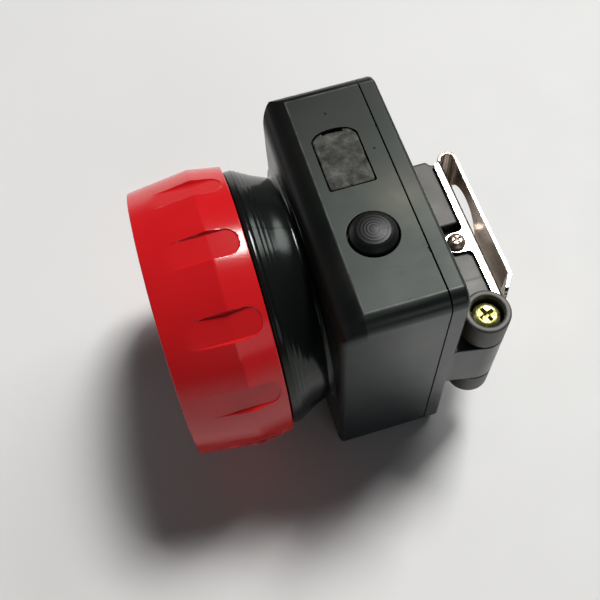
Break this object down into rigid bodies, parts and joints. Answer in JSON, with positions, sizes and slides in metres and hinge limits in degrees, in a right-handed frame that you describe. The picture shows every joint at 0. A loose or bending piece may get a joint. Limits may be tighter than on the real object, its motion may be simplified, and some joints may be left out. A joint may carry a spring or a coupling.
{
  "type": "miner's cap lamp",
  "caption": "Cordless cap lamp: round fluted screw bezel over a funnel neck, box case with push button and port cover, hinged seat with a steel spring clip.",
  "frame": {"origin": "centre of the overall outline in plan, on the surface that the lamp lies on", "axes": "lamp lying on its side: the lens looks along -Y, the steel helmet clip is at +Y, the seat hinge is at +X and the push button points along +Z"},
  "size_m": [0.064, 0.0744, 0.066],
  "materials": {
    "red_plastic": "glossy moulded",
    "clear_lens": "clear polished",
    "black_rubber": "matte",
    "pad_rubber": "mottled matte",
    "reflector_plating": "vacuum-plated mirror",
    "led_phosphor": "silicone over phosphor",
    "white_board": "matte",
    "aluminium": "turned",
    "black_plastic": "semi-gloss moulded",
    "button_plastic": "semi-gloss moulded",
    "nickel_steel": "bright nickel plate",
    "yellow_zinc": "yellow zinc plate",
    "green_board": "solder mask",
    "cell_wrap": "shrink film",
    "grey_foam": "closed-cell foam",
    "red_insulation": "satin"
  },
  "bodies": {
    "housing": {"front_housing": "black_plastic", "rear_cover": "black_plastic", "housing_gasket": "black_rubber", "cover_screw_1": "nickel_steel", "cover_screw_2": "nickel_steel", "cover_screw_3": "nickel_steel", "cover_screw_4": "nickel_steel", "reflector": "reflector_plating", "main_led": "led_phosphor", "led_board": "white_board", "heat_sink": "aluminium", "switch_body": "nickel_steel", "main_pcb": "green_board", "usb_socket": "nickel_steel", "usb_tongue": "black_plastic", "battery_cell": "cell_wrap", "battery_foam": "grey_foam", "battery_pcm": "green_board", "led_wire_red": "red_insulation", "led_wire_black": "black_rubber", "battery_wire_red": "red_insulation", "battery_wire_black": "black_rubber"},
    "lens_pack": {"lens": "clear_lens", "lens_oring": "black_rubber"},
    "bezel": {"bezel_ring": "red_plastic"},
    "button": {"push_button": "button_plastic", "button_seal": "black_rubber", "switch_plunger": "white_board"},
    "port_flap": {"port_cover": "pad_rubber"},
    "clip_seat": {"hook_seat": "black_plastic", "clip_plate": "nickel_steel", "clip_screw_near": "nickel_steel", "clip_screw_far": "nickel_steel", "hinge_screw": "yellow_zinc", "hinge_washer": "nickel_steel", "hinge_nut": "yellow_zinc"},
    "clip_spring": {"clip_blade": "nickel_steel"}
  },
  "joints": [
    {"name": "bezel_travel", "type": "slide", "parent": "housing", "child": "lens_pack", "axis": [0, -1, 0], "range_m": [0, 0.00401]},
    {"name": "bezel_turn", "type": "hinge", "parent": "lens_pack", "child": "bezel", "pos_m": [0, -0.0272, 0.032], "axis": [0, -1, 0], "range_deg": [0, 720]},
    {"name": "button_press", "type": "slide", "parent": "housing", "child": "button", "axis": [0, 0, -1], "range_m": [0, 0.0008], "stiffness_N_per_m": 2500, "springref_m": -0.0004},
    {"name": "port_cover_open", "type": "hinge", "parent": "housing", "child": "port_flap", "pos_m": [-0.00165, 0.0074, 0.064], "axis": [0, 1, 0], "range_deg": [0, 110]},
    {"name": "hook_tilt", "type": "hinge", "parent": "housing", "child": "clip_seat", "pos_m": [0.02565, 0.0274, 0.032], "axis": [0, 0, -1], "range_deg": [0, 75]},
    {"name": "clip_flex", "type": "hinge", "parent": "clip_seat", "child": "clip_spring", "pos_m": [-0.0151, 0.03495, 0.032], "axis": [0, 0, 1], "range_deg": [0, 7], "stiffness_Nm_per_rad": 3, "springref_deg": -2.29}
  ],
  "couplings": [
    {"joint": "bezel_travel", "follows": "bezel_turn", "m_per_rad": 0.00031831}
  ]
}
